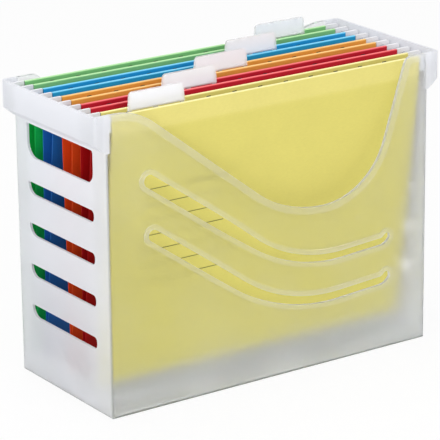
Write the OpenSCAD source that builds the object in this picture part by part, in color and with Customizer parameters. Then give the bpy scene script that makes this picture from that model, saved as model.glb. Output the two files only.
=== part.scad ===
// Portable box for hanging files: a frosted one-piece moulding with a scooped front and
// back, five card files that hang in it on steel bars, and an index tab on each file.
// +X runs to the right along the long side, the front is at -Y and the floor lies at z = 0.

/* [Box] */
// Outside length of the body, under the rim
body_length = 332; // [324:1:344]
// Outside depth from front to back
body_depth = 146; // [140:1:165]
// Height from the base to the rim
body_height = 264; // [258:1:276]
// Wall and floor thickness
wall = 2.2; // [1.6:0.1:2.8]
// Radius of the four upright corners
corner_r = 4; // [3:0.5:7]
// Radius of the edge round the floor
floor_r = 4; // [3:0.5:8]

/* [Rim] */
// How far the rim stands out at each end
rim_reach = 11; // [10:0.5:15]
// Height of the rim's upright lip
lip_height = 23.5; // [19:0.5:28]
// Height of the slope under the lip
slope_height = 9; // [6:0.5:12]
// Radius of the rim's upright corners
rim_corner_r = 2.5; // [1:0.5:4]
// Drop from the rim to the rails that the files hang on
rail_drop = 7; // [6:0.5:9]

/* [Scoop] */
// Where the scoop is lowest, to the right of the middle
scoop_low_x = 53.5; // [40:0.5:60]
// Height of the scoop's lowest point
scoop_low_z = 146.5; // [135:0.5:160]
// Angle of the long fall on the left, in degrees
scoop_fall = 38; // [35:0.5:42]
// Angle of the steep rise on the right, in degrees
scoop_rise = 72; // [66:0.5:76]
// Radius of the bottom on the fall's side
scoop_r_fall = 115; // [95:1:125]
// Radius of the bottom on the rise's side
scoop_r_rise = 68; // [58:1:74]
// Radius where the fall leaves the rim
shoulder_r_fall = 60; // [40:1:64]
// Radius where the rise meets the rim
shoulder_r_rise = 9; // [7.5:0.5:12]
// Width of the bead along the scoop and the top edge
bead_width = 6; // [3:0.5:7]
// How far the beads stand out from the wall
bead_height = 0.8; // [0.4:0.1:1.2]

/* [Wave slots] */
// Lowest point of the upper slot's middle line
upper_low_x = 66; // [56:1:72]
// Height of that point
upper_low_z = 98.5; // [92:0.5:104]
// Radius of the upper slot's round bottom
upper_r = 145; // [125:1:155]
// Width of the upper slot on the left
upper_width = 11.2; // [9:0.1:12]
// Width of the upper slot on the right
upper_tail = 7; // [5:0.1:8]
// Left end of the upper slot's middle line
upper_left_x = -125; // [-130:1:-110]
// Lowest point of the lower slot's middle line
lower_low_x = 60; // [50:1:66]
// Height of that point
lower_low_z = 62; // [56:0.5:68]
// Radius of the lower slot's round bottom
lower_r = 165; // [150:1:175]
// Width of the lower slot on the left
lower_width = 10.3; // [8:0.1:11]
// Width of the lower slot on the right
lower_tail = 8; // [6:0.1:9]
// Left end of the lower slot's middle line
lower_left_x = -122; // [-128:1:-108]
// Angle at which both slots fall from the left, in degrees
slot_fall = 35.5; // [33:0.5:38]
// Where both slots turn up at the right
slot_turn_x = 114; // [105:1:118]
// Radius of that upturn
slot_turn_r = 9; // [8:0.5:12]
// Width of the bead round each slot
slot_bead = 4.2; // [2:0.1:5]

/* [End openings] */
// Width of the handle window and of the vents below it
window_width = 104; // [90:1:112]
// Height of the handle window
window_height = 29.5; // [24:0.5:32]
// Distance from the rim's slope down to the window
window_drop = 1.8; // [1:0.1:4]
// Radius of the window's lower corner at one side
window_r_big = 13; // [8:0.5:14]
// Radius of its lower corner at the other side
window_r_small = 11; // [4:0.5:12]
// Height of each vent
vent_height = 11; // [8:0.5:13]
// Spacing of the vents
vent_pitch = 37; // [30:0.5:38]
// Distance from the window's lower edge to the first vent's
vent_drop = 33; // [28:0.5:34]

/* [Files] */
// Card thickness
card = 0.5; // [0.3:0.1:0.8]
// Gap between the card's ends and the end walls
card_gap = 5.8; // [4:0.1:8]
// Gap between the rim and the card's top edge
card_drop = 3; // [2:0.5:4]
// Height of the file's bottom crease above the base
crease_z = 20; // [12:1:40]
// How far the crease of the frontmost file has swung in behind its bars
file_lean = 20; // [0:1:20]
// Radius of the rolled crease
crease_r = 0.9; // [0.7:0.1:1.2]
// Gap between the wall and the middle of the nearest bar
bar_inset = 3.3; // [3:0.1:5]
// How far the folded hem runs down over the bar
hem_height = 15; // [14:0.5:20]
// Spacing of the slots for the index tabs
slot_pitch = 26.35; // [24:0.05:28]
// Width of each of those slots
slot_width = 4.6; // [4:0.1:6]
// Height of each of those slots
slot_height = 2.2; // [1.6:0.1:2.6]
// Distance from the card's top edge to the middle of the slots
slot_drop = 4.5; // [4.4:0.1:6]

/* [Hangers] */
// Thickness of the steel bar
bar_thick = 1; // [0.8:0.1:1.4]
// Height of the steel bar
bar_height = 12; // [10:0.5:13]
// Thickness of the coated hooks
hook_thick = 2.4; // [2:0.1:2.8]
// Distance that the hook's leg reaches down behind the rail
hook_leg = 6.5; // [4:0.5:9]
// Gap between the hook's end and the rim's lip
hook_end_gap = 2.3; // [1.5:0.1:3]
// Height of the steel tang inside the hook
tang_height = 1.8; // [1.2:0.1:2.2]

/* [Index tabs] */
// Height of the tab above the card's top edge
tab_rise = 13; // [10:0.5:18]
// Distance that the tab reaches down in front of the hem
tab_lap = 2.8; // [2:0.1:3]
// Thickness of the tab's two clear walls
tab_skin = 0.4; // [0.3:0.1:0.6]
// Radius of the tab's top corners
tab_r = 3.5; // [1:0.5:5]
// How much each side of the tab leans in
tab_taper = 1; // [0:0.2:3]
// Width of the feet that plug into the slots
foot_width = 2.6; // [1.6:0.1:3]
// Thickness of the paper slip
slip_thick = 0.25; // [0.15:0.05:0.35]

/* [Hidden] */
COLOURS = ["green", "blue", "orange", "red", "yellow"];
PIECES = [
    "back_panel", "front_panel", "back_bar", "front_bar",
    "back_hooks", "front_hooks", "index_tab", "paper_slip"];
$fn = 64;
FILES = len(COLOURS);

// Clearances
hem_play = 0.2;        // bar to the card behind it
crest_play = 0.5;      // bar's top edge to the fold over it
tab_room = 0.8;        // room between the bar and the slotted layer, for the tab's feet
crease_play = 0.3;     // rolled crease to the front panel that turns on it
hook_play = 0.6;       // rail to the hook's notch, sideways
hook_rest = 0.3;       // rail's top to the notch of a back hook
hook_swing = 0.4;      // extra height over a front hook's notch, for the panel's swing
bar_step = 0.5;        // card's end to the hook's face
tang_play = 0.05;      // tang to the pocket in the hook
foot_play = 0.25;      // foot to the side of its slot
tab_play = 0.3;        // hem to the back of the tab
slip_play = 0.125;     // slip to each wall of the tab
over = 1;              // how far cuts run past a face

// Box
half_x = body_length / 2;
half_y = body_depth / 2;
inner_x = half_x - wall;
inner_y = half_y - wall;
rim_x = half_x + rim_reach;
lip_z = body_height - lip_height;
slope_z = lip_z - slope_height;
rail_z = body_height - rail_drop;
slope_rise = wall * norm([rim_reach, slope_height]) / rim_reach;
window_z = slope_z - window_drop - window_height;
window_r_top = 2.5;    // window's upper corner at the side of the small one
vent_r_top = 4;        // the same corner of a vent
tip_r = 0.6;           // upper corner at the other side, drawn out to a tip
slot_rise = 3.5;       // angle of a wave slot's slow rise on the right
slot_turn = 55;        // angle at which its upturn ends
taper_from = -60;      // a wave slot narrows between these two places
taper_to = 5;

// Files
card_x = inner_x - card_gap;
card_z = body_height - card_drop;
bar_pitch = 2 * (inner_y - bar_inset) / (2 * FILES - 1);
hem_out = bar_thick / 2 + hem_play + card;
hem_in = bar_thick / 2 + tab_room + card;
crest_r = hem_out;                // radius of the fold over the bar
fold_below = 2;                   // the outer layer leaves the hem this far under it
bar_z = card_z - card - crest_play - bar_height;
bar_x = card_x + bar_step;
slot_count = 11;                  // slots for the index tab in each hem
LEANS = [0, 0.7, 0.15, 0.7, 1];   // share of the front file's lean that each file has

// Hooks
hook_x = rim_x - wall - hook_end_gap;
hook_r = 1.5;                     // round corners of the hook
tang_reach = 3;                   // the tang runs on this far past the rail
tang_x = half_x + hook_play + tang_reach;
tang_z = bar_z + bar_height - tang_height;

// Tabs
foot_x = slot_pitch - slot_width / 2 + foot_play + foot_width / 2;
foot_height = 1;
foot_gap = 0.4;                   // foot's end to the bar
foot_edge = 1;                    // the tab runs on this far past its outer feet
tab_half = foot_x + foot_width / 2 + foot_edge;
tab_pitch = 2 * slot_pitch;
pocket = slip_thick + 2 * slip_play;
tab_thick = 2 * tab_skin + pocket;
tab_edge = 0.8;                   // height of the tab's folded top and bottom edges

// ---- outlines ----

// Points of an arc about a centre, from one angle to another
function arc(c, r, from, to, n = 12) =
    [for (i = [0 : n]) let (a = from + (to - from) * i / n) c + r * [cos(a), sin(a)]];

// A smooth step from 0 at a to 1 at b
function ease(x, a, b) = let (t = min(1, max(0, (x - a) / (b - a)))) t * t * (3 - 2 * t);

function back_bar_y(i) = inner_y - bar_inset - 2 * i * bar_pitch;
function front_bar_y(i) = back_bar_y(i) - bar_pitch;
function lean(i) = LEANS[i] * file_lean;
function crease_y(i) = back_bar_y(i) - bar_pitch / 2 + lean(i);
function tab_x(i) = ((FILES - 1) / 2 - i) * tab_pitch;

// How far an arc of radius r runs sideways and up while it turns by an angle from level
function arc_run(r, turn) = [r * sin(turn), r * (1 - cos(turn))];

// Centres of the arcs where the scoop leaves and meets the rim, tangent to the straight
// fall and rise
fall_bottom = arc_run(scoop_r_fall, scoop_fall);
rise_bottom = arc_run(scoop_r_rise, scoop_rise);
fall_top = arc_run(shoulder_r_fall, scoop_fall);
rise_top = arc_run(shoulder_r_rise, scoop_rise);
fall_run = (body_height - fall_top.y - scoop_low_z - fall_bottom.y) / tan(scoop_fall);
rise_run = (body_height - rise_top.y - scoop_low_z - rise_bottom.y) / tan(scoop_rise);
fall_shoulder = [scoop_low_x - fall_bottom.x - fall_run - fall_top.x, body_height - shoulder_r_fall];
rise_shoulder = [scoop_low_x + rise_bottom.x + rise_run + rise_top.x, body_height - shoulder_r_rise];

// The scoop's edge, moved outwards by grow
function scoop_edge(grow) = concat(
    arc(fall_shoulder, shoulder_r_fall - grow, 90, 90 - scoop_fall, 16),
    arc([scoop_low_x, scoop_low_z + scoop_r_fall], scoop_r_fall + grow, 270 - scoop_fall, 270, 28),
    arc([scoop_low_x, scoop_low_z + scoop_r_rise], scoop_r_rise + grow, 270, 270 + scoop_rise, 32),
    arc(rise_shoulder, shoulder_r_rise - grow, 90 + scoop_rise, 90, 12));

// Middle line of a wave slot as [x, z, angle]: a straight fall, a round bottom, a slow
// rise and a short upturn
function wave(low_x, low_z, r, left_x) =
    let (low = [low_x, low_z],
         start = low + arc_run(r, -slot_fall),
         end = low + arc_run(r, slot_rise),
         turn_z = end.y + (slot_turn_x - end.x) * tan(slot_rise),
         turn = [slot_turn_x, turn_z] - arc_run(slot_turn_r, slot_rise))
    concat(
        [for (i = [0 : 7])
            let (x = left_x + (start.x - left_x) * i / 8)
            [x, start.y + (start.x - x) * tan(slot_fall), -slot_fall]],
        [for (i = [0 : 24])
            let (a = -slot_fall + (slot_rise + slot_fall) * i / 24, p = low + arc_run(r, a))
            [p.x, p.y, a]],
        [for (i = [0 : 12])
            let (a = slot_rise + (slot_turn - slot_rise) * i / 12, p = turn + arc_run(slot_turn_r, a))
            [p.x, p.y, a]]);

// A point beside the wave's middle line, on its upper side where reach is above 0
function beside(p, reach) = [p.x - reach * sin(p.z), p.y + reach * cos(p.z)];

// A wave slot's outline: its middle line widened to each side, with round ends
module wave_shape(low_x, low_z, r, left_x, width, tail, grow) {
    line = wave(low_x, low_z, r, left_x);
    half = [for (p = line) grow + (width + (tail - width) * ease(p.x, taper_from, taper_to)) / 2];
    last = len(line) - 1;
    start = line[0];
    end = line[last];
    polygon(concat(
        [for (i = [1 : last - 1]) beside(line[i], half[i])],
        arc([end.x, end.y], half[last], end.z + 90, end.z - 90, 16),
        [for (i = [last - 1 : -1 : 1]) beside(line[i], -half[i])],
        arc([start.x, start.y], half[0], start.z - 90, start.z - 270, 16)));
}

module both_wave_shapes(grow) {
    wave_shape(upper_low_x, upper_low_z, upper_r, upper_left_x, upper_width, upper_tail, grow);
    wave_shape(lower_low_x, lower_low_z, lower_r, lower_left_x, lower_width, lower_tail, grow);
}

// The box seen from the front, with the rim's slope and lip
module front_outline() {
    polygon([
        [-half_x, slope_z], [half_x, slope_z], [rim_x, lip_z],
        [rim_x, body_height], [-rim_x, body_height], [-rim_x, lip_z]]);
}

// A rectangle with round lower corners, standing on z = low
module tub_outline(half, low, high, r) {
    polygon(concat(
        arc([half - r, low + r], r, -90, 0),
        [[half, high], [-half, high]],
        arc([-half + r, low + r], r, 180, 270)));
}

// A rounded rectangle about the origin
module plan(half_a, half_b, r) {
    square([2 * half_a, 2 * (half_b - r)], center = true);
    square([2 * (half_a - r), 2 * half_b], center = true);
    for (x = [-1, 1], y = [-1, 1])
        translate([x * (half_a - r), y * (half_b - r)])
            circle(r);
}

// An opening in an end wall, with its own radius at each corner
module eye(width, low, height, r_big, r_small, r_top, r_tip) {
    h = width / 2;
    polygon(concat(
        arc([-h + r_small, low + r_small], r_small, 180, 270),
        arc([h - r_big, low + r_big], r_big, -90, 0, 16),
        arc([h - r_tip, low + height - r_tip], r_tip, 0, 90, 4),
        arc([-h + r_top, low + height - r_top], r_top, 90, 180, 6)));
}

// ---- helpers ----

module along_y(from, to) {
    translate([0, to, 0])
        rotate([90, 0, 0])
            linear_extrude(to - from)
                children();
}

module along_x(from, to) {
    translate([from, 0, 0])
        rotate([90, 0, 90])
            linear_extrude(to - from)
                children();
}

// The tub's form, drawn in by inset on every side but the top
module tub(inset, top) {
    intersection() {
        along_y(-half_y - over, half_y + over)
            tub_outline(half_x - inset, inset, top, floor_r - inset / 2);
        along_x(-half_x - over, half_x + over)
            tub_outline(half_y - inset, inset, top, floor_r - inset / 2);
        linear_extrude(top + over)
            plan(half_x - inset, half_y - inset, corner_r - inset / 2);
    }
}

// ---- the box ----

module rim() {
    intersection() {
        along_y(-half_y, half_y)
            front_outline();
        linear_extrude(body_height + over)
            plan(rim_x, half_y, rim_corner_r);
    }
}

// Space behind the lip, where the hooks' ends hang
module channel() {
    along_y(-inner_y, inner_y)
        polygon([
            [half_x, slope_z + slope_rise],
            [rim_x - wall, slope_z + slope_rise + (rim_reach - wall) * slope_height / rim_reach],
            [rim_x - wall, body_height + over],
            [half_x, body_height + over]]);
    translate([inner_x - over, -inner_y, rail_z])
        cube([wall + 2 * over, 2 * inner_y, rail_drop + over]);
}

// Beads along the scoop, the top edge and the wave slots
module front_beads() {
    along_y(-half_y - bead_height, -half_y) {
        intersection() {
            translate([rim_corner_r - rim_x, 0])
                square([2 * (rim_x - rim_corner_r), body_height]);
            polygon(concat(
                [[-rim_x - over, body_height + over], [-rim_x - over, body_height - bead_width]],
                scoop_edge(bead_width),
                [[rim_x + over, body_height - bead_width], [rim_x + over, body_height + over]]));
        }
        both_wave_shapes(slot_bead);
    }
}

module front_cuts() {
    along_y(-half_y - bead_height - over, -inner_y + over) {
        polygon(concat(
            [[fall_shoulder.x, body_height + over]],
            scoop_edge(0),
            [[rise_shoulder.x, body_height + over]]));
        both_wave_shapes(0);
    }
}

module end_cuts() {
    along_x(-half_x - over, -inner_x + over) {
        eye(window_width, window_z, window_height, window_r_big, window_r_small, window_r_top, tip_r);
        for (k = [0 : 3])
            eye(window_width, window_z - vent_drop - k * vent_pitch, vent_height,
                vent_height - 2 * tip_r, vent_height / 2, vent_r_top, tip_r);
    }
}

module box() {
    color([0.91, 0.92, 0.94, 0.6])
        difference() {
            union() {
                tub(0, body_height);
                rim();
                front_beads();
                rotate([0, 0, 180])
                    front_beads();
            }
            tub(wall, body_height + over);
            for (turn = [0, 180])
                rotate([0, 0, turn]) {
                    channel();
                    front_cuts();
                    end_cuts();
                }
        }
}

// ---- one file ----

// Places a piece at the bar of file i; the front half is the back half turned round
module at_bar(i, front) {
    translate([0, front ? front_bar_y(i) : back_bar_y(i), card_z])
        mirror([0, front ? 1 : 0, 0])
            children();
}

// Section through half a file, with the bar's middle at y = 0 and the card's top at z = 0.
// The crease hangs run to the inner side of the bar. The card comes up from its own side of
// the crease, goes over the bar and ends as a hem on the inner side.
module card_section(run, stop) {
    crease = [crease_r - card / 2 - run, crease_z - card_z];
    from = [hem_out - card / 2, -hem_height - fold_below];
    way = (crease - from) / norm(crease - from);
    side = [-way.y, way.x] * card / 2;
    foot = crease - way * stop;
    polygon(concat(
        [[-hem_in, -hem_height]],
        arc([-hem_in + crest_r, -crest_r], crest_r, 180, 90, 6),
        arc([hem_out - crest_r, -crest_r], crest_r, 90, 0, 6),
        [[hem_out, from.y], foot + side, foot - side, [hem_out - card, from.y]],
        arc([hem_out - crest_r, -crest_r], crest_r - card, 0, 90, 6),
        arc([-hem_in + crest_r, -crest_r], crest_r - card, 90, 180, 6),
        [[-hem_in + card, -hem_height]]));
}

module tab_slots() {
    for (k = [0 : slot_count - 1])
        translate([(k - (slot_count - 1) / 2) * slot_pitch, -hem_in + card / 2, -slot_drop])
            cube([slot_width, card + 2 * over, slot_height], center = true);
}

module back_panel(i) {
    color(card_colour(i)) {
        at_bar(i, false)
            difference() {
                along_x(-card_x, card_x)
                    card_section(bar_pitch / 2 - lean(i), crease_r / 2);
                tab_slots();
            }
        translate([-card_x, crease_y(i), crease_z])
            rotate([0, 90, 0])
                cylinder(h = 2 * card_x, r = crease_r, $fn = 24);
    }
}

module front_panel(i) {
    color(card_colour(i))
        at_bar(i, true)
            along_x(-card_x, card_x)
                card_section(bar_pitch / 2 + lean(i), crease_r + crease_play);
}

// A steel bar with a slim tang at each end
module bar(i, front) {
    color([0.75, 0.76, 0.78])
        at_bar(i, front)
            translate([0, 0, -card_z]) {
                translate([-bar_x, -bar_thick / 2, bar_z])
                    cube([2 * bar_x, bar_thick, bar_height]);
                translate([-tang_x, -bar_thick / 2, tang_z])
                    cube([2 * tang_x, bar_thick, tang_height]);
            }
}

// Outline of the right-hand hook: an inner leg, a neck over the rail and an outer leg
module hook_outline(rest) {
    notch_z = rail_z + rest;
    leg_z = rail_z - hook_leg;
    polygon(concat(
        [[bar_x, bar_z], [inner_x - hook_play - hook_r, bar_z]],
        arc([inner_x - hook_play - hook_r, bar_z + hook_r], hook_r, -90, 0, 6),
        [[inner_x - hook_play, notch_z], [half_x + hook_play, notch_z]],
        arc([half_x + hook_play + hook_r, leg_z + hook_r], hook_r, 180, 270, 6),
        arc([hook_x - hook_r, leg_z + hook_r], hook_r, -90, 0, 6),
        arc([hook_x - hook_r, card_z - hook_r], hook_r, 0, 90, 6),
        [[bar_x, card_z]]));
}

module hooks(i, front) {
    color([0.96, 0.96, 0.97])
        at_bar(i, front)
            translate([0, 0, -card_z])
                for (end = [0, 1])
                    mirror([end, 0, 0])
                        difference() {
                            along_y(-hook_thick / 2, hook_thick / 2)
                                hook_outline(front ? hook_rest + hook_swing : hook_rest);
                            along_x(bar_x - over, tang_x + tang_play)
                                translate([-bar_thick / 2 - tang_play, tang_z - tang_play])
                                    square([bar_thick, tang_height] + 2 * tang_play * [1, 1]);
                        }
}

// Outline of the tab, with the middle of the card's top edge at the origin
module tab_outline() {
    top_half = tab_half - tab_taper;
    polygon(concat(
        [[-tab_half, -tab_lap], [tab_half, -tab_lap]],
        arc([top_half - tab_r, tab_rise - tab_r], tab_r, 0, 90, 8),
        arc([-top_half + tab_r, tab_rise - tab_r], tab_r, 90, 180, 8)));
}

// A folded clear holder, open at both ends for the slip, on three feet
module index_tab(i) {
    back = -hem_in - tab_play;
    sole = -slot_drop - foot_height / 2;
    color([0.93, 0.94, 0.97, 0.5])
        at_bar(i, false)
            translate([tab_x(i), 0, 0]) {
                difference() {
                    along_y(back - tab_thick, back)
                        tab_outline();
                    translate([-tab_half - over, back - tab_skin - pocket, -tab_lap + tab_edge])
                        cube([2 * (tab_half + over), pocket, tab_lap + tab_rise - 2 * tab_edge]);
                }
                for (x = [-foot_x, 0, foot_x])
                    translate([x - foot_width / 2, 0, 0]) {
                        translate([0, back - tab_thick, sole])
                            cube([foot_width, tab_thick, tab_edge / 2 - tab_lap - sole]);
                        translate([0, back - tab_thick, sole])
                            cube([foot_width, -bar_thick / 2 - foot_gap - back + tab_thick, foot_height]);
                    }
            }
}

module paper_slip(i) {
    back = -hem_in - tab_play - tab_skin - slip_play;
    margin = tab_taper + tab_r / 2;
    low = -tab_lap + tab_edge + slip_play;
    high = tab_rise - tab_edge - slip_play;
    color([0.97, 0.97, 0.98])
        at_bar(i, false)
            translate([tab_x(i) - tab_half + margin, back - slip_thick, low])
                cube([2 * (tab_half - margin), slip_thick, high - low]);
}

function card_colour(i) = [
    [0.42, 0.75, 0.45], [0.1, 0.55, 0.82], [0.95, 0.65, 0.25], [0.82, 0.1, 0.15], [0.9, 0.85, 0.45]][i];

// ---- what is drawn ----

box();
for (i = [0 : FILES - 1]) {
    back_panel(i);
    front_panel(i);
    bar(i, false);
    bar(i, true);
    hooks(i, false);
    hooks(i, true);
    index_tab(i);
    paper_slip(i);
}
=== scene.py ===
# %% [markdown]
# # A frosted file box, dressed in Blender
#
# The object is a portable box for hanging files. It is moulded in one piece from frosted
# polypropylene, and five card files hang in it on steel bars. The solids are already
# packed in millimetre-true shape, so this lesson is about what the eye reads after the
# shape: how a translucent moulding blurs what lies behind it, how dyed card takes light
# at its folds, and how clear tabs and coated hooks differ from both.
#
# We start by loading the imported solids. Each one is a Blender object at the origin, in
# metres, with +X to the right along the long side and the front wall at -Y.

# %% Load the frame
import math
from types import SimpleNamespace

import bpy
from mathutils import Matrix, Vector


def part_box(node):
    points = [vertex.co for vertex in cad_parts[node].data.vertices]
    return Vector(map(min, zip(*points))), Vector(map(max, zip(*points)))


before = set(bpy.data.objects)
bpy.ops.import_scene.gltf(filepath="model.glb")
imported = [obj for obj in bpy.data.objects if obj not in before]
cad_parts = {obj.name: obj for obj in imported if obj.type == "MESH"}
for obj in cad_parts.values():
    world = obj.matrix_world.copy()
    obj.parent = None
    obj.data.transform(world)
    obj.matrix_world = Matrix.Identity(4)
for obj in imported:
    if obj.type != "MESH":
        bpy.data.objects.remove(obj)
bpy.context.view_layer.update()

# %% [markdown]
# ## The camera
#
# A photographer stands well back from a product, so its upright edges stay nearly
# parallel. Here that is a long lens at 2.35 m. The camera looks at a point near the
# middle of the box, from the left of its front and a little above. Its three axes are
# built from the two angles first, and then rolled by a fraction of a degree, because a
# camera held by hand or set on a tripod is seldom quite level.

# %% Place the camera
AZIMUTH = math.radians(-34.45)
ELEVATION = math.radians(18.31)
ROLL = math.radians(-0.61)
DISTANCE = 2.345
TARGET = Vector((-0.0054, 0.0, 0.1252))
LENS = 220.45        # mm
SENSOR_WIDTH = 36    # mm
FAR_END = 20         # nothing further off than this is drawn

backward = Vector((
    math.sin(AZIMUTH) * math.cos(ELEVATION),
    -math.cos(AZIMUTH) * math.cos(ELEVATION),
    math.sin(ELEVATION)))
level_right = Vector((0, 0, 1)).cross(backward).normalized()
level_up = backward.cross(level_right)
right = level_right * math.cos(ROLL) + level_up * math.sin(ROLL)
up = level_up * math.cos(ROLL) - level_right * math.sin(ROLL)

camera_data = bpy.data.cameras.new("camera")
camera_data.lens = LENS
camera_data.sensor_width = SENSOR_WIDTH
camera_data.clip_end = FAR_END
camera = bpy.data.objects.new("camera", camera_data)
turn = Matrix((right, up, backward)).transposed().to_4x4()
camera.matrix_world = Matrix.Translation(TARGET + backward * DISTANCE) @ turn
bpy.context.scene.collection.objects.link(camera)
bpy.context.scene.camera = camera
bpy.context.scene.view_settings.view_transform = "Standard"
print("camera at", camera.matrix_world.translation[:])

# %% [markdown]
# ## Two small helpers
#
# Colours are easiest to pick as sRGB hex values, but Blender's sockets want linear
# light, so one function converts them. A second one adds a node: it sets the node's
# options, and gives each socket a value or the output that feeds it. Sockets can be
# named, or simply listed in their order on the node, and a node that is given in place
# of a value means its first output. So a material reads as a list of what it is made of.

# %% Hex colours
MM = 0.001


def linear(hex_colour):
    """A hex colour as the linear RGBA that a socket takes."""
    channels = [int(hex_colour[i:i + 2], 16) / 255 for i in (1, 3, 5)]
    return [c / 12.92 if c <= 0.04045 else ((c + 0.055) / 1.055) ** 2.4 for c in channels] + [1]


print("white is", linear("#ffffff"), "mid grey is", linear("#808080"))


# %% Nodes
def add(owner, kind, sockets=(), **options):
    """Adds a node to a material or the world, with its options and what feeds its sockets."""
    tree = owner.node_tree
    node = tree.nodes.new("ShaderNode" + kind)
    for name, value in options.items():
        setattr(node, name, value)
    for name, value in sockets.items() if isinstance(sockets, dict) else enumerate(sockets):
        if isinstance(value, bpy.types.Node):
            value = value.outputs[0]
        if isinstance(value, bpy.types.NodeSocket):
            tree.links.new(value, node.inputs[name])
        else:
            node.inputs[name].default_value = value
    return node


def new_material(name):
    """A node material without nodes."""
    material = bpy.data.materials.new(name)
    material.use_nodes = True
    material.node_tree.nodes.clear()
    return material


SMOOTH = {"interpolation_type": "SMOOTHSTEP"}  # a Map Range that starts and ends gently
NOISE_BAND = (0.3, 0.7)                        # nearly all of a noise lies between these
print("helpers: linear, add, new_material")

# %% [markdown]
# ## Floor, background and light
#
# The box stands in a white studio. The floor is a matt white sheet that sends light back
# up at the object. To the camera, and to rays that come by way of gloss or through the
# plastic, it also glows: most of its white is that glow, so only a faint part is left for
# the object's soft shadow to darken. The sheet lies a hair below the box, because two
# faces in the same place can't be told apart, which hid the dark line along the base.


# %% What the eye sees directly, or by way of gloss and clear plastic
def seen_directly(owner):
    """1 for a ray from the camera, from gloss or through plastic, and 0 for the others."""
    path = add(owner, "LightPath")
    seen = path.outputs["Is Camera Ray"]
    for way in ("Is Glossy Ray", "Is Transmission Ray"):
        seen = add(owner, "Math", [seen, path.outputs[way]], operation="MAXIMUM")
    return seen


# %% Floor
FLOOR_SIZE = 12.0
FLOOR_GLOW = 0.90
FLOOR_DROP = 0.15 * MM

half = FLOOR_SIZE / 2
corners = [(-half, -half, 0), (half, -half, 0), (half, half, 0), (-half, half, 0)]
floor_mesh = bpy.data.meshes.new("studio_floor")
floor_mesh.from_pydata(corners, [], [(0, 1, 2, 3)])
floor = bpy.data.objects.new("studio_floor", floor_mesh)
bpy.context.scene.collection.objects.link(floor)
floor.location.z = -FLOOR_DROP

studio_white = new_material("matt_white_studio_sheet")
sheet = add(studio_white, "BsdfDiffuse", {"Color": linear("#f4f4f4")})
glow = add(studio_white, "Emission", {"Color": linear("#ffffff"), "Strength": 1.0})
share = add(studio_white, "Math", [seen_directly(studio_white), FLOOR_GLOW], operation="MULTIPLY")
both = add(studio_white, "MixShader", [share, sheet, glow])
add(studio_white, "OutputMaterial", {"Surface": both})
floor_mesh.materials.append(studio_white)
print("floor glow share", FLOOR_GLOW)

# %% [markdown]
# The world is the same white to the eye, but lights the object with less than that. Three
# softboxes do the rest, from the left, the front and above. Their power is low enough that
# a colour renders about as it is written, and that the pale resin doesn't clip to white.

# %% World
AMBIENT = 0.62

world = bpy.data.worlds.new("studio")
bpy.context.scene.world = world
world.use_nodes = True
world.node_tree.nodes.clear()
level = add(world, "MapRange", {"Value": seen_directly(world), "To Min": AMBIENT, "To Max": 1.0})
sky = add(world, "Background", {"Color": linear("#ffffff"), "Strength": level})
add(world, "OutputWorld", {"Surface": sky})
print("ambient", AMBIENT)

# %% Lamps
MIDDLE = Vector((0, 0, 0.14))
SOFTBOXES = {  # place and size in metres, power in watts
    "softbox_left": ((-2.2, -0.5, 1.0), 1.4, 21),
    "softbox_front": ((0.2, -2.6, 1.6), 1.6, 19),
    "softbox_top": ((0.0, 0.3, 2.4), 1.4, 14),
}
for name, (spot, size, power) in SOFTBOXES.items():
    data = bpy.data.lights.new(name, "AREA")
    data.shape = "SQUARE"
    data.size = size
    data.energy = power
    lamp = bpy.data.objects.new(name, data)
    lamp.location = spot
    lamp.rotation_euler = (MIDDLE - Vector(spot)).to_track_quat("-Z", "Y").to_euler()
    bpy.context.scene.collection.objects.link(lamp)
print("lamps:", list(SOFTBOXES))

# %% [markdown]
# ## Frosted polypropylene
#
# The box is natural polypropylene, injection moulded against a finely etched steel
# cavity. The resin is slightly milky, and the etched skin scatters what passes through:
# a thing that touches the wall is seen sharply, and one that lies a centimetre behind
# it melts into a tint. A refracting shader with a rough surface does exactly that, since
# each wall really has two surfaces here. A share of plain scattering, as diffuse and
# translucent light, stands for the milk in the resin.
#
# One material does for the whole moulding, and tells its parts apart by where a spot lies
# and which way its face turns. So we first read the sizes that it needs from the frame.

# %% Sizes of the moulding
BEAD = 0.8 * MM           # how far the beads stand out from the long walls
RIM_REACH = 11 * MM       # how far the rim stands out from the end walls
LIP_HEIGHT = 23.5 * MM    # height of the rim's upright lip
SLOPE_HEIGHT = 9 * MM     # height of the slope below the lip
WALL = 2.2 * MM

box_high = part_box("box")[1]
WALL_FACE_Y = box_high.y - BEAD
END_FACE_X = box_high.x - RIM_REACH
RIM_LOW = box_high.z - LIP_HEIGHT - SLOPE_HEIGHT
print("long walls at y", round(WALL_FACE_Y, 4), "end walls at x", round(END_FACE_X, 4))


# %% Where a spot lies, and how it faces
def read_place(material, place):
    """Distances from the box's middle planes, and how squarely a face turns to each axis."""
    where = add(material, "SeparateXYZ", [place.outputs["Object"]])
    facing = add(material, "SeparateXYZ", [place.outputs["Normal"]])
    at = SimpleNamespace(spot=place.outputs["Object"], height=where.outputs["Z"])
    at.side_x, at.side_y = [
        add(material, "Math", [where.outputs[axis]], operation="ABSOLUTE") for axis in "XY"]
    at.turned_x, at.turned_y, at.turned_z = [
        add(material, "Math", [facing.outputs[axis]], operation="ABSOLUTE") for axis in "XYZ"]
    return at


print("the place of a spot is read as height, side_x, side_y and turned_x, turned_y, turned_z")

# %% [markdown]
# Three zones matter. The end walls carry the handles and look thicker and milkier than the
# long walls. Below the rim there are corners and a base, which the rim doesn't have. And
# wherever a wall is cut through, its cut edge shows the resin end-on.

# %% Zones of the moulding
SQUARE_ON = 0.8    # a face turned to an axis at least this much lies square to it
EDGE_ON = 0.5      # in a wall across that axis, a face turned less than this is a cut edge
END_BAND = (END_FACE_X - 5 * MM, END_FACE_X - 1.5 * MM)   # the end walls begin over this band
FACE_PLAY = 0.1 * MM


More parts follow.
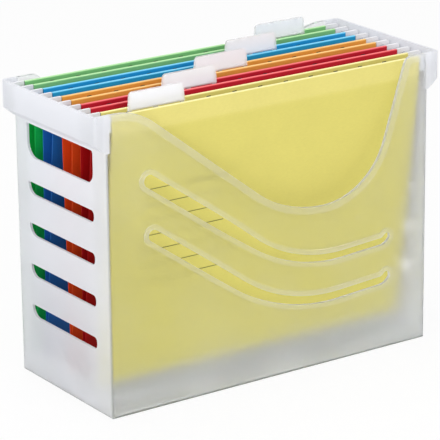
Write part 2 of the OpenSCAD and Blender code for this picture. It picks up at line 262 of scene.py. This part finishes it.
def mark_zones(material, at):
    """Adds shares from 0 to 1: below the rim, end walls, and cuts in long and end walls."""
    at.below_rim = add(material, "Math", [at.height, RIM_LOW], operation="LESS_THAN")
    long_face = add(material, "Math", [at.turned_y, SQUARE_ON], operation="GREATER_THAN")
    long_face = add(material, "Math", [long_face, at.below_rim], operation="MULTIPLY")
    not_long = add(material, "Math", [1.0, long_face], operation="SUBTRACT")
    near_end = add(material, "MapRange", [at.side_x, *END_BAND, 0.0, 1.0], **SMOOTH)
    at.end_wall = add(material, "Math", [near_end, not_long], operation="MULTIPLY")

    off_end = add(material, "Math", [1.0, at.end_wall], operation="SUBTRACT")
    in_wall = add(material, "Math", [at.side_y, WALL_FACE_Y - WALL - FACE_PLAY], operation="GREATER_THAN")
    edge_y = add(material, "Math", [at.turned_y, EDGE_ON], operation="LESS_THAN")
    edge_x = add(material, "Math", [at.turned_x, EDGE_ON], operation="LESS_THAN")
    edge_y = add(material, "Math", [edge_y, in_wall], operation="MULTIPLY")
    at.cut_long = add(material, "Math", [edge_y, off_end], operation="MULTIPLY")
    at.cut_end = add(material, "Math", [edge_x, at.end_wall], operation="MULTIPLY")


print("zones: below_rim, end_wall, cut_long, cut_end")

# %% [markdown]
# The milk varies slowly where the resin flowed in the mould. A little is added where the
# wall looks denser: towards the top and the ends, in the beads and at the cut edges. The
# rim's lips get a little less than the end walls do.

# %% Milk in the plain walls
CLOUD = 45 * MM               # size of the slow changes
PLAIN_MILK = (0.015, 0.035)   # least and most in a long wall
CUT_LONG_MILK = 0.10
CUT_END_MILK = 0.45
MOST_MILK = 0.95
LIP_BAND = (END_FACE_X + 1 * MM, END_FACE_X + 4 * MM)   # here the wall turns into the lip
EXTRA_MILK = (  # what it follows, where it starts and ends, and the share at both
    ("height", 160 * MM, 250 * MM, 0.0, 0.04),
    ("side_x", 115 * MM, 150 * MM, 0.0, 0.015),
    ("side_x", *LIP_BAND, 0.0, -0.10),
    ("side_y", WALL_FACE_Y + 0.2 * MM, WALL_FACE_Y + 0.6 * MM, 0.0, 0.18),
)


def wall_milk(material, at):
    """The share of light that the milk scatters in the long walls, beads and lips."""
    at.cloud = add(material, "TexNoise", {"Vector": at.spot, "Scale": 1 / CLOUD, "Detail": 3.0})
    milk = add(material, "MapRange", [at.cloud, *NOISE_BAND, *PLAIN_MILK], **SMOOTH)
    for measure, *span in EXTRA_MILK:
        extra = add(material, "MapRange", [getattr(at, measure), *span], **SMOOTH)
        milk = add(material, "Math", [milk, extra], operation="ADD")
    return milk


print("milk in the long walls:", PLAIN_MILK)

# %% [markdown]
# The end walls are milkiest near the rim. They clear towards the base, where light comes in
# from the floor, and a little towards the long walls, where it comes in from the sides.
#
# Near the base, paler streaks are a painted reflection, added to the milk. They are a noise
# squeezed in height, and fade out above the base.

# %% Milk in the end walls, and painted reflection streaks in the base
END_MILK = (10 * MM, 140 * MM, 0.48, 0.89)         # between these heights, from and to
END_SIDE = (42 * MM, 66 * MM)                      # distances from the middle of the end wall
END_SIDE_SHARE = 0.76                              # what is left of its milk at the sides
STREAK = 22 * MM
STREAK_STRETCH = (0.7, 1, 1.8)
STREAK_MILK = (10 * MM, 36 * MM, 0.16, 0.0)        # between these heights, from and to
STREAK_EDGE = (0.45, 0.60, 0.25, 1.0)              # the noise is cut here, to these shares


def end_wall_milk(material, at):
    rising = add(material, "MapRange", [at.height, *END_MILK], **SMOOTH)
    beside = add(material, "MapRange", [at.side_y, *END_SIDE, 0.0, 1.0], **SMOOTH)
    cleared = add(material, "MapRange", [beside, 0.0, 1.0, 1.0, END_SIDE_SHARE], **SMOOTH)
    milk = add(material, "Math", [at.end_wall, rising], operation="MULTIPLY")
    return add(material, "Math", [milk, cleared], operation="MULTIPLY")


# painted reflection: paler streaks of extra milk near the base
def painted_reflection_streaks(material, at):
    squeezed = add(material, "Mapping", {"Vector": at.spot, "Scale": STREAK_STRETCH})
    noise = add(material, "TexNoise", {"Vector": squeezed, "Scale": 1 / STREAK, "Detail": 2.0})
    marks = add(material, "MapRange", [noise, *STREAK_EDGE], **SMOOTH)
    near_base = add(material, "MapRange", [at.height, *STREAK_MILK], **SMOOTH)
    return add(material, "Math", [near_base, marks], operation="MULTIPLY")


def all_milk(material, at):
    """The milk of every zone together, below a limit that keeps a trace of clearness."""
    milk = wall_milk(material, at)
    for extra in (end_wall_milk(material, at), painted_reflection_streaks(material, at)):
        milk = add(material, "Math", [milk, extra], operation="ADD")
    for cut, share in ((at.cut_long, CUT_LONG_MILK), (at.cut_end, CUT_END_MILK)):
        milk = add(material, "Math", [cut, share, milk], operation="MULTIPLY_ADD")
    return add(material, "Math", [milk, MOST_MILK], operation="MINIMUM")


print("milk in the end walls:", END_MILK[2:], "flow marks:", STREAK_MILK[2:])

# %% [markdown]
# Along the upright corners, along the base and where a wall turns away from the eye, light
# has far to go inside the resin, and little of it comes out. That draws a thin grey line
# there. A ray tracer with few bounces can't find it, so we mark those places and paint the
# shade in, by mixing in a dark matt surface. Layer Weight tells where a wall turns away, as
# it does for a sheen. The cut edges are left out, because they are bright end-on. The lips
# get a trace of the same painted grey.

# %% Painted dark lines in the moulding
CORNER_LINE = (0.42, 0.49, 0.0, 0.32)              # by how evenly a face turns to X and Y
BASE_LINE = (1.0 * MM, 3.0 * MM, 0.55, 0.0)        # between these heights, from and to
LEVEL_ON = 0.85                                    # a face turned up at least this much is level
GRAZING_LINE = (0.72, 0.95, 0.0, 0.65)             # by how far a face turns from the eye
LIP_GREY = 0.06


def painted_dark_lines(material, at):
    """The share of painted shade: grey lines for light that is lost inside the wall."""
    corner = add(material, "Math", [at.turned_x, at.turned_y], operation="MULTIPLY")
    corner = add(material, "MapRange", [corner, *CORNER_LINE], **SMOOTH)
    corner = add(material, "Math", [corner, at.below_rim], operation="MULTIPLY")

    base = add(material, "MapRange", [at.height, *BASE_LINE], **SMOOTH)
    upright = add(material, "Math", [at.turned_z, LEVEL_ON], operation="LESS_THAN")
    base = add(material, "Math", [base, upright], operation="MULTIPLY")

    away = add(material, "LayerWeight", {"Blend": 0.5}).outputs["Facing"]
    grazing = add(material, "MapRange", [away, *GRAZING_LINE], **SMOOTH)
    cut = add(material, "Math", [at.cut_end, at.cut_long], operation="MAXIMUM")
    uncut = add(material, "Math", [1.0, cut], operation="SUBTRACT")
    for limit in (at.below_rim, uncut):
        grazing = add(material, "Math", [grazing, limit], operation="MULTIPLY")

    line = add(material, "MapRange", [at.side_x, *LIP_BAND, 0.0, LIP_GREY], **SMOOTH)
    for other in (corner, base, grazing):
        line = add(material, "Math", [line, other], operation="MAXIMUM")
    return line


print("darkest line:", max(CORNER_LINE[3], BASE_LINE[2], GRAZING_LINE[3]))

# %% [markdown]
# A ray that looks for a lamp would not find its way through rough refraction within a few
# bounces, and all that the box holds would stand in the dark. So such rays pass straight
# through a plain transparent surface instead. Where the milky end walls lie in their way
# they are dimmed, and less so beside the handle window.


# %% Let lamps shine through
def finish_clear(material, surface, colour):
    """Ends a material with its surface, which rays on their way to a lamp pass through."""
    clear = add(material, "BsdfTransparent", {"Color": colour})
    path = add(material, "LightPath")
    lit = add(material, "MixShader", [path.outputs["Is Shadow Ray"], surface, clear])
    add(material, "OutputMaterial", {"Surface": lit})


END_SHADE = (165 * MM, 200 * MM, 1.0, 0.45)   # between these heights, from and to
THIN_SHADOW = "#eceeee"
MILKY_SHADOW = "#44484c"


def shadow_colour(material, at):
    """What is left of a lamp's light behind the wall."""
    dimming = add(material, "MapRange", [at.height, *END_SHADE], **SMOOTH)
    dimming = add(material, "Math", [at.end_wall, dimming], operation="MULTIPLY")
    return add(material, "Mix", {0: dimming, 6: linear(THIN_SHADOW), 7: linear(MILKY_SHADOW)},
               data_type="RGBA").outputs[2]


print("shadows behind the walls:", THIN_SHADOW, MILKY_SHADOW)

# %% [markdown]
# The layers now come together. The resin itself refracts, with the index of refraction of
# polypropylene, 1.49, and a skin whose roughness changes a little with the flow of the
# resin. Its reflection is toned down, since the etched skin breaks it up. The milk sends
# most of its light back and lets a third on. The floor plate looks a touch greener than the
# walls, because light travels along it for a long way.

# %% Frosted polypropylene
GRAIN = 0.9 * MM               # the etched grain is finer, and is drawn coarse enough to show
GRAIN_DEPTH = 0.05 * MM
SKIN_ROUGHNESS = (0.36, 0.42)
LET_ON = 0.35                  # share of the milk's light that goes on through the wall
PLATE_GREEN = "#b0dcbc"
PLATE_SHARE = 0.10


def frosted_polypropylene():
    material = new_material("etched_polypropylene")
    place = add(material, "TexCoord")
    at = read_place(material, place)
    mark_zones(material, at)
    milk = all_milk(material, at)

    plate = add(material, "Math", [at.height, WALL + FACE_PLAY], operation="LESS_THAN")
    plate = add(material, "Math", [plate, PLATE_SHARE], operation="MULTIPLY")
    resin_tint, milk_tint = [
        add(material, "Mix", {0: plate, 6: linear(tint), 7: linear(PLATE_GREEN)},
            data_type="RGBA").outputs[2] for tint in ("#fafbfb", "#f6f7fb")]

    grain = add(material, "TexNoise", {"Vector": at.spot, "Scale": 1 / GRAIN, "Detail": 2.0})
    etched = add(material, "Bump", {"Height": grain, "Strength": 0.12, "Distance": GRAIN_DEPTH})
    skin = add(material, "MapRange", [at.cloud, *NOISE_BAND, *SKIN_ROUGHNESS], **SMOOTH)
    resin = add(material, "BsdfPrincipled", {
        "Base Color": resin_tint, "Roughness": skin, "IOR": 1.49, "Transmission Weight": 1.0,
        "Specular Tint": linear("#8c8c8c"), "Normal": etched})
    sent_back = add(material, "BsdfDiffuse", {"Color": milk_tint, "Normal": etched})
    let_on = add(material, "BsdfTranslucent", {"Color": milk_tint})
    milky = add(material, "MixShader", [LET_ON, sent_back, let_on])
    wall = add(material, "MixShader", [milk, resin, milky])
    # painted shade: a dark matt surface, mixed in along the lines
    painted_shade_surface = add(material, "BsdfDiffuse", {"Color": linear("#6c706a")})
    wall = add(material, "MixShader", [painted_dark_lines(material, at), wall, painted_shade_surface])
    finish_clear(material, wall, shadow_colour(material, at))
    return material


box_plastic = frosted_polypropylene()
print("box material:", box_plastic.name, "with", len(box_plastic.node_tree.nodes), "nodes")

# %% [markdown]
# ## Dyed card
#
# The files are folded from card of about 230 g/m2, dyed in the pulp. Close up it has
# fibres a millimetre or so long and a soft cloudiness, and it is matt. Two noises of those
# sizes vary the dye by a few hundredths, and the finer one also roughens the surface.

# %% Tone of the card
FIBRE = 1.2 * MM
FIBRE_STRETCH = (0.35, 1, 1)     # most fibres lie along the file
CLOUDINESS = 30 * MM
FIBRE_TONE = (0.98, 1.02)
CLOUD_TONE = (0.985, 1.015)


def card_tone(material, spot):
    """The fibres, and the factor by which they and the clouds change the dye."""
    stretched = add(material, "Mapping", {"Vector": spot, "Scale": FIBRE_STRETCH})
    fibres = add(material, "TexNoise", {"Vector": stretched, "Scale": 1 / FIBRE, "Detail": 4.0,
                                        "Roughness": 0.6})
    clouds = add(material, "TexNoise", {"Vector": spot, "Scale": 1 / CLOUDINESS, "Detail": 2.0})
    speck = add(material, "MapRange", [fibres, *NOISE_BAND, *FIBRE_TONE])
    cloud = add(material, "MapRange", [clouds, *NOISE_BAND, *CLOUD_TONE])
    return fibres, add(material, "Math", [speck, cloud], operation="MULTIPLY")


print("fibres of", FIBRE, "m and clouds of", CLOUDINESS, "m")

# %% [markdown]
# Along the folds over the bars the surface stretches and rubs, so the dye pales there; the
# pale strip is also a painted highlight where the fold catches light. The hems look paler
# than the card that shows through the openings, which its neighbours shade. Nothing shows
# that the card has faded: the hems and the rearmost file's bare outer face get a painted lit
# colour, and the card below the hems a deeper painted shade.

# %% Painted light on the hems, and painted shade below them
rear_low, rear_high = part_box("green_back_panel")
FOLD_TOP = rear_high.z
REAR_FACE_Y = rear_low.y + 1.2 * MM              # only the rearmost panel lies behind this
FOLD_RUB_AND_HIGHLIGHT = 1.1 * MM                              # height of the rubbed strip on the fold, also a painted highlight
MOST_RUB_AND_HIGHLIGHT = 0.9
HEM = 15 * MM                                    # height of the hems
HEM_BAND = (FOLD_TOP - HEM - 6 * MM, FOLD_TOP - HEM + 1 * MM)
# share of painted light on the rearmost file's bare outer face
REAR_PAINTED_LIGHT = 0.7
OUTWARD = 0.5                                    # a face turned more than this faces that way


def painted_lit_share(material, place, axes):
    """The share of the painted lit colour, against the painted shade below the hems."""
    hem = add(material, "MapRange", [axes.outputs["Z"], *HEM_BAND, 0.0, 1.0], **SMOOTH)
    facing = add(material, "SeparateXYZ", [place.outputs["Normal"]])
    at_rear = add(material, "Math", [axes.outputs["Y"], REAR_FACE_Y], operation="GREATER_THAN")
    outward = add(material, "Math", [facing.outputs["Y"], OUTWARD], operation="GREATER_THAN")
    bare = add(material, "Math", [at_rear, outward], operation="MULTIPLY")
    bare = add(material, "Math", [bare, REAR_PAINTED_LIGHT], operation="MULTIPLY")
    return add(material, "Math", [hem, bare], operation="MAXIMUM")


print("card folds over the bars at", round(FOLD_TOP, 4), "m")

# %% [markdown]
# The front of each file carries printed rules for notes, as such files have. The height of
# a spot, counted in rule spacings, is compared with the nearest whole number, which gives
# endless lines. Five limits then cut them to a block on the outer face.

# %% Printed rules
RULE_TOP = 190.2 * MM       # highest printed rule
RULE_STEP = 13.9 * MM
RULE_COUNT = 7
RULE_THICK = 0.8 * MM
RULE_LEFT = -122 * MM
RULE_RIGHT = -41 * MM
INK = "#5c5a20"
INK_SHARE = 0.85            # the card shows through the thin ink a little


def printed_rules(material, place, axes, surface):
    """The surface's colour with thin level lines on the outer face of a file's front."""
    row = add(material, "MapRange", [axes.outputs["Z"], RULE_TOP, RULE_TOP - RULE_STEP, 0.0, 1.0],
              clamp=False)
    nearest = add(material, "Math", [row], operation="ROUND")
    away = add(material, "Math", [row, nearest], operation="SUBTRACT")
    away = add(material, "Math", [away], operation="ABSOLUTE")
    ink = add(material, "Math", [away, RULE_THICK / 2 / RULE_STEP], operation="LESS_THAN")
    facing = add(material, "SeparateXYZ", [place.outputs["Normal"]])
    limits = (
        (nearest, "GREATER_THAN", -0.5),
        (nearest, "LESS_THAN", RULE_COUNT - 0.5),
        (axes.outputs["X"], "GREATER_THAN", RULE_LEFT),
        (axes.outputs["X"], "LESS_THAN", RULE_RIGHT),
        (facing.outputs["Y"], "LESS_THAN", -OUTWARD),
    )
    for value, comparison, limit in limits:
        inside = add(material, "Math", [value, limit], operation=comparison)
        ink = add(material, "Math", [ink, inside], operation="MULTIPLY")
    ink = add(material, "Math", [ink, INK_SHARE], operation="MULTIPLY")
    return add(material, "Mix", {0: ink, 6: surface, 7: linear(INK)}, data_type="RGBA").outputs[2]


print(RULE_COUNT, "rules,", round(RULE_RIGHT - RULE_LEFT, 3), "m long")

# %% [markdown]
# The colours of each dye are three: painted lit on the hems, rubbed with a painted highlight
# where a fold is, and a deeper painted shade below the hems. Card is a plain dielectric, rough
# and with little gloss.

# %% Dyed card
# painted lit colour on the hems, rubbed fold with a painted highlight, painted shade below
CARD = {  # on the hems, where a fold rubs, and below the hems
    "green": ("#86cc86", "#c4f0b4", "#12cc5a"),
    "blue": ("#1ea0dc", "#8ce2ff", "#1c6cc0"),
    "orange": ("#f0a848", "#ffd890", "#ea4e12"),
    "red": ("#cc1830", "#ff8084", "#b8020a"),
    "yellow": ("#e8dc80", "#fff8b8", "#e1d672"),
}


def dyed_card(name, colour, fold_rub_and_highlight, painted_shade_dye, rules):
    material = new_material(name)
    place = add(material, "TexCoord")
    axes = add(material, "SeparateXYZ", [place.outputs["Object"]])
    fibres, tone = card_tone(material, place.outputs["Object"])
    painted_lit = painted_lit_share(material, place, axes)
    # painted light and shade: lit colour on the hems and rear face, deeper shade below them
    body = add(material, "Mix", {0: painted_lit, 6: linear(painted_shade_dye), 7: linear(colour)}, data_type="RGBA")
    dye = add(material, "Mix", {0: 1.0, 6: body.outputs[2], 7: tone.outputs[0]},
              data_type="RGBA", blend_type="MULTIPLY")
    # rubbed fold, partly wear and partly a painted highlight where the fold catches light
    rub_and_highlight = add(material, "MapRange",
              [axes.outputs["Z"], FOLD_TOP - FOLD_RUB_AND_HIGHLIGHT, FOLD_TOP, 0.0, MOST_RUB_AND_HIGHLIGHT], **SMOOTH)
    surface = add(material, "Mix", {0: rub_and_highlight, 6: dye.outputs[2], 7: linear(fold_rub_and_highlight)},
                  data_type="RGBA").outputs[2]
    if rules:
        surface = printed_rules(material, place, axes, surface)
    grain = add(material, "Bump", {"Height": fibres, "Strength": 0.15, "Distance": 0.06 * MM})
    matt = add(material, "BsdfPrincipled", {
        "Base Color": surface, "Roughness": 0.62, "IOR": 1.45,
        "Specular IOR Level": 0.35, "Normal": grain})
    add(material, "OutputMaterial", {"Surface": matt})
    return material


card_materials = {
    colour: (dyed_card(f"dyed_card_{colour}", *tones, rules=False),
             dyed_card(f"dyed_card_{colour}_ruled", *tones, rules=True))
    for colour, tones in CARD.items()}
print("card:", sorted(card_materials))

# %% [markdown]
# ## Steel bars
#
# Each bar is taken to be cold-rolled strip, in a darker colour than bright steel, which
# paints shade into the tab slots where a bar shows. Rolling leaves fine lines along its
# length, so the pattern is stretched along X. It changes both the gloss and the relief.

# %% Steel bars
ROLL_LINE = 0.4 * MM             # the real lines are finer, and are drawn to show
ROLL_STRETCH = (0.01, 1, 1)
STEEL_ROUGHNESS = (0.22, 0.42)


def rolled_steel():
    material = new_material("cold_rolled_steel")
    place = add(material, "TexCoord")
    along = add(material, "Mapping", {"Vector": place.outputs["Object"], "Scale": ROLL_STRETCH})
    lines = add(material, "TexNoise", {"Vector": along, "Scale": 1 / ROLL_LINE, "Detail": 3.0})
    dull = add(material, "MapRange", [lines, 0.0, 1.0, *STEEL_ROUGHNESS])
    ridges = add(material, "Bump", {"Height": lines, "Strength": 0.2, "Distance": 0.02 * MM})
    metal = add(material, "BsdfPrincipled", {
        # painted shade: a darker steel, so the tab slots read dark
        "Base Color": linear("#7c7e82"), "Metallic": 1.0, "Roughness": dull, "Normal": ridges})
    add(material, "OutputMaterial", {"Surface": metal})
    return material


steel = rolled_steel()
print("bars:", steel.name)

# %% [markdown]
# ## Coated hooks
#
# The hooks at the bars' ends are dipped in white vinyl, which is smooth and a little soft
# to the eye. The coating runs as it sets, which leaves low waves, and it greys where it
# slides on the rail, within about a millimetre of the rail's top.

# %% Coated hooks
RAIL_Z = box_high.z - 7 * MM          # top of the rails
GREY_BAND = (0.4 * MM, 1.4 * MM)      # height above or below it over which the grey ends
MOST_GREY = 0.35
WAVE = 2.5 * MM


def dipped_vinyl():
    material = new_material("dipped_white_vinyl")
    place = add(material, "TexCoord")
    axes = add(material, "SeparateXYZ", [place.outputs["Object"]])
    off_rail = add(material, "Math", [axes.outputs["Z"], RAIL_Z], operation="SUBTRACT")
    off_rail = add(material, "Math", [off_rail], operation="ABSOLUTE")
    rubbed = add(material, "MapRange", [off_rail, *GREY_BAND, MOST_GREY, 0.0])
    colour = add(material, "Mix", {0: rubbed, 6: linear("#f2f2f5"), 7: linear("#b9bac0")},
                 data_type="RGBA")
    skin = add(material, "TexNoise", {"Vector": place.outputs["Object"], "Scale": 1 / WAVE,
                                      "Detail": 2.0})
    waves = add(material, "Bump", {"Height": skin, "Strength": 0.15, "Distance": 0.2 * MM})
    vinyl = add(material, "BsdfPrincipled", {
        "Base Color": colour.outputs[2], "Roughness": 0.38, "IOR": 1.53, "Normal": waves})
    add(material, "OutputMaterial", {"Surface": vinyl})
    return material


hook_white = dipped_vinyl()
print("hooks:", hook_white.name)

# %% [markdown]
# ## Clear index tabs
#
# A tab is folded from thin clear PVC sheet. PVC is glossy, with an index of refraction of
# 1.53 and a faint blue cast. Handling smears it, so its gloss changes over a few
# millimetres, and a share of it is a plain white haze. Like the box, it lets lamps through.

# %% Clear index tabs
SMEAR = 6 * MM
TAB_ROUGHNESS = (0.04, 0.14)
HAZE = 0.35


def clear_pvc():
    material = new_material("clear_pvc_sheet")
    place = add(material, "TexCoord")
    smear = add(material, "TexNoise", {"Vector": place.outputs["Object"], "Scale": 1 / SMEAR,
                                       "Detail": 3.0})
    dull = add(material, "MapRange", [smear, *NOISE_BAND, *TAB_ROUGHNESS])
    gloss = add(material, "BsdfPrincipled", {
        "Base Color": linear("#fdfdff"), "Roughness": dull, "IOR": 1.53,
        "Transmission Weight": 1.0})
    haze = add(material, "BsdfDiffuse", {"Color": linear("#ffffff")})
    sheet = add(material, "MixShader", [HAZE, gloss, haze])
    finish_clear(material, sheet, linear("#ffffff"))
    return material


tab_clear = clear_pvc()
print("tabs:", tab_clear.name)

# %% [markdown]
# ## Paper slips
#
# The slip in each tab is plain uncoated paper: rough, with hardly any gloss, and cloudy at
# the size of its fibres. It is whitened with an optical brightener, which turns violet
# light into a little extra blue-white. A faint glow is added for it, which is also painted
# light that brightens the slip.

# %% Paper slips
PAPER_FIBRE = 0.7 * MM
# painted light: the brightener's glow also stands in for more light on the slip
BRIGHTENER_AND_PAINTED_GLOW = 0.12  # blue-white light that the optical brightener gives back


def slip_paper():
    material = new_material("uncoated_paper")
    place = add(material, "TexCoord")
    fibres = add(material, "TexNoise", {"Vector": place.outputs["Object"],
                                        "Scale": 1 / PAPER_FIBRE, "Detail": 4.0})
    tone = add(material, "Mix", {0: fibres, 6: linear("#f8f8fd"), 7: linear("#ffffff")},
               data_type="RGBA")
    relief = add(material, "Bump", {"Height": fibres, "Strength": 0.2, "Distance": 0.05 * MM})
    paper = add(material, "BsdfPrincipled", {
        "Base Color": tone.outputs[2], "Roughness": 0.8, "Specular IOR Level": 0.3,
        "Emission Color": linear("#dfe8ff"), "Emission Strength": BRIGHTENER_AND_PAINTED_GLOW,
        "Normal": relief})
    add(material, "OutputMaterial", {"Surface": paper})
    return material


slip_white = slip_paper()
print("slips:", slip_white.name)

# %% [markdown]
# ## Dressing the solids
#
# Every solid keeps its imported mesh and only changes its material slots. The beads, slots,
# hems and hooks are all real shape already, so no piece has to be replaced.


# %% Give each solid its finish
def dress(node, material):
    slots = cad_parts[node].data.materials
    slots.clear()
    slots.append(material)


dress("box", box_plastic)
for colour, (plain, ruled) in card_materials.items():
    dress(f"{colour}_back_panel", plain)
    dress(f"{colour}_front_panel", ruled)
    for side in ("back", "front"):
        dress(f"{colour}_{side}_bar", steel)
        dress(f"{colour}_{side}_hooks", hook_white)
    dress(f"{colour}_index_tab", tab_clear)
    dress(f"{colour}_paper_slip", slip_white)
print("dressed", len(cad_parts), "solids")
